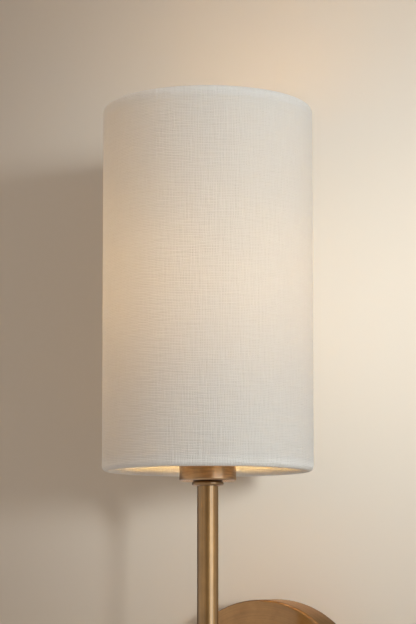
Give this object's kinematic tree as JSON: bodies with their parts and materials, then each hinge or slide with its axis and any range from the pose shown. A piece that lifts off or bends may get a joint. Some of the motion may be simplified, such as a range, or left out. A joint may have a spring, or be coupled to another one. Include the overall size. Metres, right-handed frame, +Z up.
{
  "type": "fabric shade wall light",
  "caption": "Wall light with a round plate, a short arm, an upright stem and cup, and a straight linen drum shade over a screw-cap bulb that turns and lifts out.",
  "frame": {"origin": "centre of the wall plate's back, on the wall, midway between the two wall-screw slots", "axes": "+X to the right seen from the room, +Y into the wall, +Z up along the stem"},
  "size_m": [0.1332, 0.1585, 0.4247],
  "materials": {
    "antique_bronze": "satin",
    "zinc_steel": "satin",
    "plain_brass": "satin",
    "tinned_copper": "satin",
    "block_nylon": "satin",
    "holder_moulding": "satin",
    "white_ceramic": "satin",
    "live_pvc": "satin",
    "neutral_pvc": "satin",
    "earth_pvc": "satin",
    "linen": "matte",
    "styrene": "satin",
    "white_wire": "satin",
    "frosted_glass": "satin",
    "nickel_cap": "satin",
    "dark_vitrite": "gloss",
    "driver_resin": "matte",
    "clear_glass": "gloss",
    "led_phosphor": "satin"
  },
  "bodies": {
    "wall_fixture": {"canopy": "antique_bronze", "wall_bracket": "zinc_steel", "canopy_side_screws": "antique_bronze", "terminal_block": "block_nylon", "terminal_tubes": "plain_brass", "clamp_screws": "zinc_steel", "terminal_block_screw": "zinc_steel", "earth_lug": "tinned_copper", "earth_screw": "zinc_steel", "arm_nipple": "zinc_steel", "arm_washer": "zinc_steel", "arm_nut": "zinc_steel", "arm_collar": "antique_bronze", "arm_tube": "antique_bronze", "hub": "antique_bronze", "hub_arm_nipple": "zinc_steel", "hub_stem_nipple": "zinc_steel", "hub_finial": "antique_bronze", "stem_tube": "antique_bronze", "stem_bead": "antique_bronze", "cup": "antique_bronze", "cup_washer": "zinc_steel", "cup_nut": "zinc_steel", "socket_spacer": "antique_bronze", "socket_nipple": "zinc_steel", "holder_cap": "holder_moulding", "holder_grub_screw": "zinc_steel", "holder_insert": "white_ceramic", "holder_terminals": "plain_brass", "holder_terminal_screws": "zinc_steel", "holder_screw_shell": "plain_brass", "holder_centre_contact": "plain_brass", "holder_skirt": "holder_moulding", "live_wire": "live_pvc", "neutral_wire": "neutral_pvc", "earth_wire": "earth_pvc"},
    "shade": {"shade_fabric": "linen", "shade_liner": "styrene", "shade_top_ring": "white_wire", "shade_bottom_ring": "white_wire", "fitter_ring": "white_wire", "spider_arms": "white_wire"},
    "clamp_ring": {"shade_clamp_ring": "holder_moulding"},
    "bulb": {"bulb_envelope": "frosted_glass", "bulb_cap": "nickel_cap", "bulb_insulator": "dark_vitrite", "bulb_tip": "nickel_cap", "bulb_driver": "driver_resin", "bulb_stem": "clear_glass", "bulb_filaments": "led_phosphor"}
  },
  "joints": [
    {"name": "shade_turn", "type": "hinge", "parent": "wall_fixture", "child": "shade", "pos_m": [0, -0.095, 0.1841], "axis": [0, 0, 1], "continuous": true},
    {"name": "clamp_ring_unscrew", "type": "slide", "parent": "wall_fixture", "child": "clamp_ring", "axis": [0, 0, 1], "range_m": [0, 0.018]},
    {"name": "bulb_unscrew", "type": "slide", "parent": "wall_fixture", "child": "bulb", "axis": [0, 0, 1], "range_m": [0, 0.19]}
  ]
}
